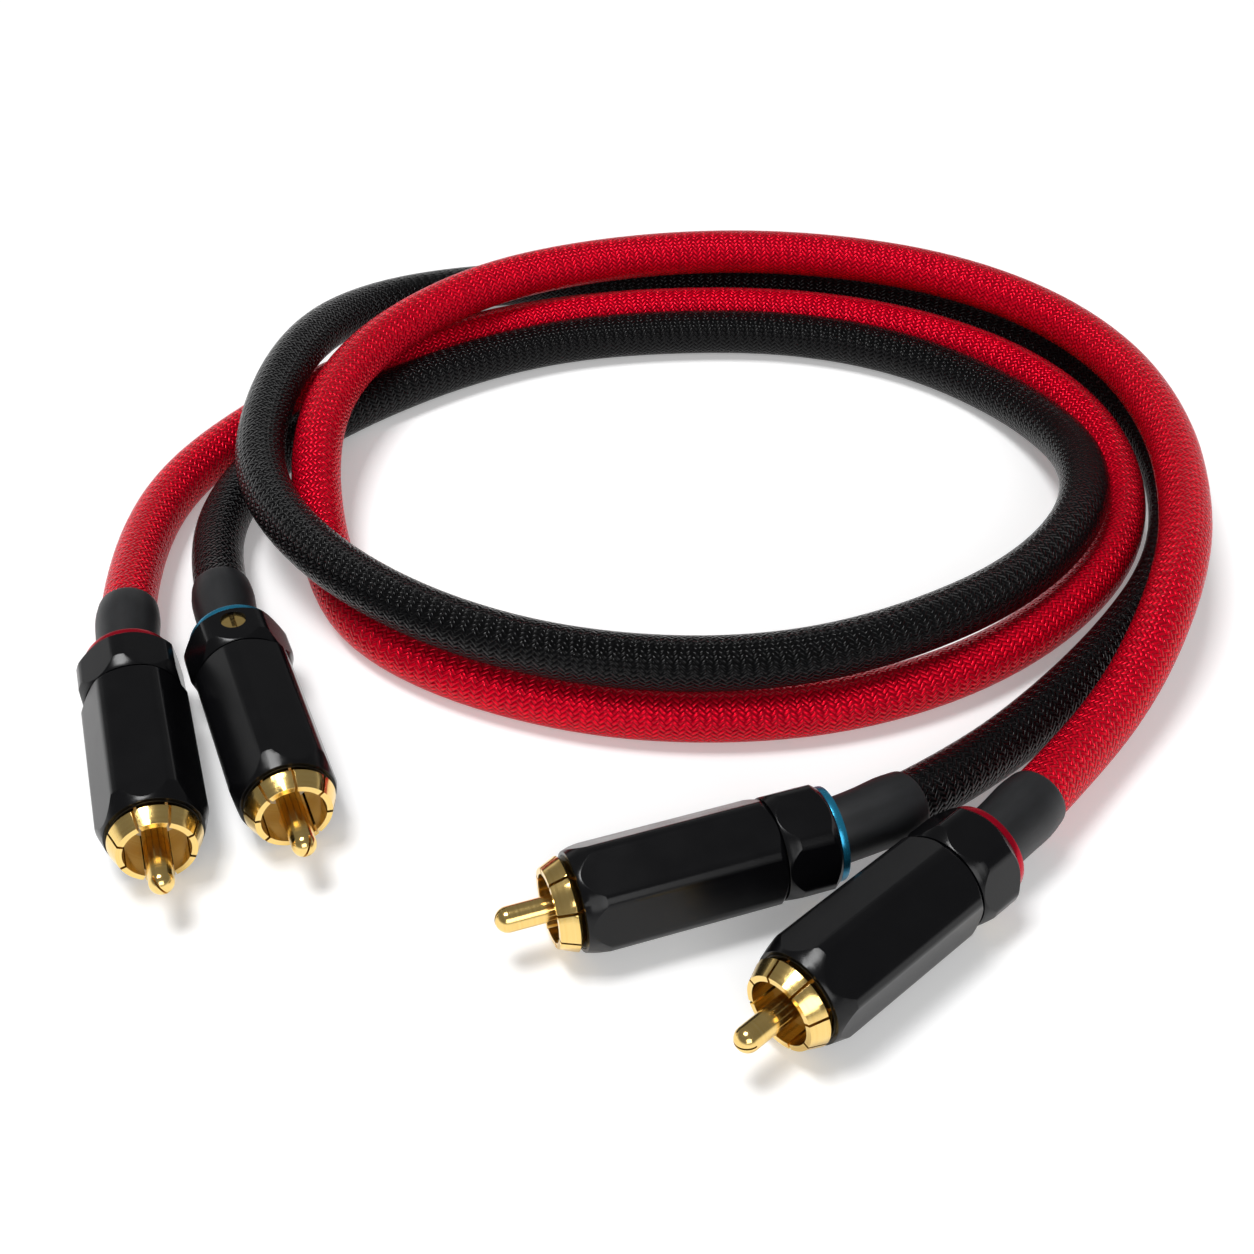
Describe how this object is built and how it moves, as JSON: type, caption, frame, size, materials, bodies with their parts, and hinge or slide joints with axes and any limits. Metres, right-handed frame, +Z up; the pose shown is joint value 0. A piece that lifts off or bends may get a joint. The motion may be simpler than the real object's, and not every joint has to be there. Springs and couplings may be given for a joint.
{
  "type": "audio interconnect cable",
  "caption": "Red and black braided audio interconnects, loosely coiled together, with phono plugs whose hexagonal sleeves screw forward to close split ground collets.",
  "frame": {"origin": "On the bench that the plugs and the coil lie on, at the middle of the rectangle that the four plugs cover.", "axes": "+Z is up. +Y points from the plugs to the coil behind them. +X is to the right as seen from the plugs' side."},
  "size_m": [0.1661, 0.1782, 0.0157],
  "materials": {
    "gold_plated_brass": "turned brass, bright gold plating",
    "ptfe": "off-white PTFE",
    "black_acetal": "black acetal",
    "black_anodised": "black anodised aluminium, satin",
    "red_anodised": "red anodised aluminium, bright",
    "blue_anodised": "light blue anodised aluminium, bright",
    "heat_shrink": "dark grey heat-shrink sleeve, matt",
    "lead_insulation": "white wire insulation",
    "bare_copper": "bare copper wire",
    "red_braid": "crimson nylon braid, satin sheen",
    "black_braid": "black nylon braid, satin sheen"
  },
  "bodies": {
    "cables_and_plugs": {"red_front_centre_pin": "gold_plated_brass", "red_front_insulator": "ptfe", "red_front_ground_collet": "gold_plated_brass", "red_front_rear_nut": "black_anodised", "red_front_clamp_screw": "gold_plated_brass", "red_front_colour_ring": "red_anodised", "red_front_heat_shrink": "heat_shrink", "red_front_signal_lead": "lead_insulation", "red_front_ground_lead": "bare_copper", "red_left_centre_pin": "gold_plated_brass", "red_left_insulator": "ptfe", "red_left_ground_collet": "gold_plated_brass", "red_left_rear_nut": "black_anodised", "red_left_clamp_screw": "gold_plated_brass", "red_left_colour_ring": "red_anodised", "red_left_heat_shrink": "heat_shrink", "red_left_signal_lead": "lead_insulation", "red_left_ground_lead": "bare_copper", "black_front_centre_pin": "gold_plated_brass", "black_front_insulator": "ptfe", "black_front_ground_collet": "gold_plated_brass", "black_front_rear_nut": "black_anodised", "black_front_clamp_screw": "gold_plated_brass", "black_front_colour_ring": "blue_anodised", "black_front_heat_shrink": "heat_shrink", "black_front_signal_lead": "lead_insulation", "black_front_ground_lead": "bare_copper", "black_left_centre_pin": "gold_plated_brass", "black_left_insulator": "ptfe", "black_left_ground_collet": "gold_plated_brass", "black_left_rear_nut": "black_anodised", "black_left_clamp_screw": "gold_plated_brass", "black_left_colour_ring": "blue_anodised", "black_left_heat_shrink": "heat_shrink", "black_left_signal_lead": "lead_insulation", "black_left_ground_lead": "bare_copper", "red_cable": "red_braid", "black_cable": "black_braid"},
    "red_front_ring": {"red_front_closing_ring": "black_acetal"},
    "red_front_sleeve": {"red_front_locking_sleeve": "black_anodised"},
    "red_left_ring": {"red_left_closing_ring": "black_acetal"},
    "red_left_sleeve": {"red_left_locking_sleeve": "black_anodised"},
    "black_front_ring": {"black_front_closing_ring": "black_acetal"},
    "black_front_sleeve": {"black_front_locking_sleeve": "black_anodised"},
    "black_left_ring": {"black_left_closing_ring": "black_acetal"},
    "black_left_sleeve": {"black_left_locking_sleeve": "black_anodised"}
  },
  "joints": [
    {"name": "red_front_ring_slide", "type": "slide", "parent": "cables_and_plugs", "child": "red_front_ring", "axis": [-0.7349, -0.6782, 0], "range_m": [0, 0.0004]},
    {"name": "red_front_sleeve_turn", "type": "hinge", "parent": "red_front_ring", "child": "red_front_sleeve", "pos_m": [0.03898, -0.02464, 0.007], "axis": [-0.7349, -0.6782, 0], "range_deg": [0, 192]},
    {"name": "red_left_ring_slide", "type": "slide", "parent": "cables_and_plugs", "child": "red_left_ring", "axis": [0.3007, -0.9537, 0], "range_m": [0, 0.0004]},
    {"name": "red_left_sleeve_turn", "type": "hinge", "parent": "red_left_ring", "child": "red_left_sleeve", "pos_m": [-0.05269, 0.00405, 0.00715], "axis": [0.3007, -0.9537, 0], "range_deg": [0, 192]},
    {"name": "black_front_ring_slide", "type": "slide", "parent": "cables_and_plugs", "child": "black_front_ring", "axis": [-0.9438, -0.3305, 0], "range_m": [0, 0.0004]},
    {"name": "black_front_sleeve_turn", "type": "hinge", "parent": "black_front_ring", "child": "black_front_sleeve", "pos_m": [0.01607, -0.01507, 0.00698], "axis": [-0.9438, -0.3305, 0], "range_deg": [0, 192]},
    {"name": "black_left_ring_slide", "type": "slide", "parent": "cables_and_plugs", "child": "black_left_ring", "axis": [0.3714, -0.9285, 0], "range_m": [0, 0.0004]},
    {"name": "black_left_sleeve_turn", "type": "hinge", "parent": "black_left_ring", "child": "black_left_sleeve", "pos_m": [-0.03794, 0.00976, 0.00696], "axis": [0.3714, -0.9285, 0], "range_deg": [0, 192]}
  ],
  "couplings": [
    {"joint": "red_front_sleeve_turn", "follows": "red_front_ring_slide", "rad_per_m": 8377.6},
    {"joint": "red_left_sleeve_turn", "follows": "red_left_ring_slide", "rad_per_m": 8377.6},
    {"joint": "black_front_sleeve_turn", "follows": "black_front_ring_slide", "rad_per_m": 8377.6},
    {"joint": "black_left_sleeve_turn", "follows": "black_left_ring_slide", "rad_per_m": 8377.6}
  ]
}
